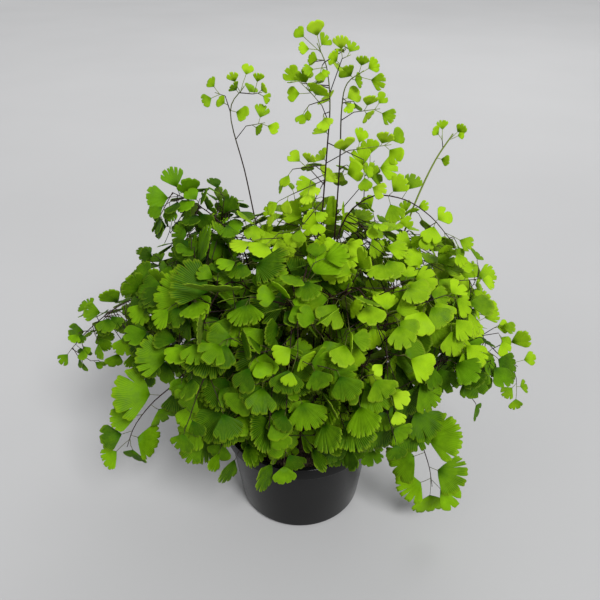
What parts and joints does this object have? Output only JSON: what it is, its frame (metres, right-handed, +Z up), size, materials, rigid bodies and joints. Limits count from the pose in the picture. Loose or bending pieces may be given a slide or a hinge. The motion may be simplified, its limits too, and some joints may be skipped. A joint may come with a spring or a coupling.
{
  "type": "potted fern",
  "caption": "Maidenhair fern with arching fronds of fan-shaped leaflets on wiry dark stems, growing from soil in a small round plastic nursery pot.",
  "frame": {"origin": "centre of the flat underside of the pot, on the surface that the pot stands on", "axes": "+Z up along the pot's axis, -Y towards the front of the plant, +X to its right"},
  "size_m": [0.3013, 0.2004, 0.3065],
  "materials": {
    "pot_plastic": "glossy black moulded plastic",
    "soil": "moist dark potting mix",
    "crown": "brown scales and old stem bases",
    "leaf_young": "thin, soft, light yellow-green leaf",
    "leaf_green": "thin, soft, mid-green leaf with fine fanned veins",
    "leaf_dark": "thin, soft, deep green leaf with fine fanned veins",
    "stem": "polished black-brown wiry stem"
  },
  "bodies": {
    "root": {"pot": "pot_plastic", "soil": "soil", "crown": "crown", "frond_tall_left": "leaf_young", "frond_tall_right": "leaf_young", "frond_wisp_left": "leaf_young", "frond_shoot_right": "leaf_young", "frond_arch_right": "leaf_young", "frond_right_hang": "leaf_green", "frond_left_hang": "leaf_green", "frond_right_far": "leaf_young", "frond_left_far": "leaf_green", "frond_left_upper": "leaf_dark", "frond_upright_right": "leaf_young", "frond_right_upper": "leaf_young", "frond_right_low": "leaf_dark", "frond_left_mid": "leaf_dark", "frond_skirt_left": "leaf_green", "frond_skirt_front": "leaf_green", "frond_skirt_right": "leaf_dark", "frond_inner_left": "leaf_green", "frond_inner_right": "leaf_green", "frond_front_left": "leaf_green", "frond_front_mid": "leaf_green", "frond_front_right": "leaf_green", "frond_front_high": "leaf_green", "frond_high_right": "leaf_green", "frond_high_left": "leaf_green", "frond_back_left_far": "leaf_green", "frond_back_left": "leaf_green", "frond_back": "leaf_green", "frond_back_right": "leaf_green", "frond_back_right_far": "leaf_green"}
  },
  "joints": []
}
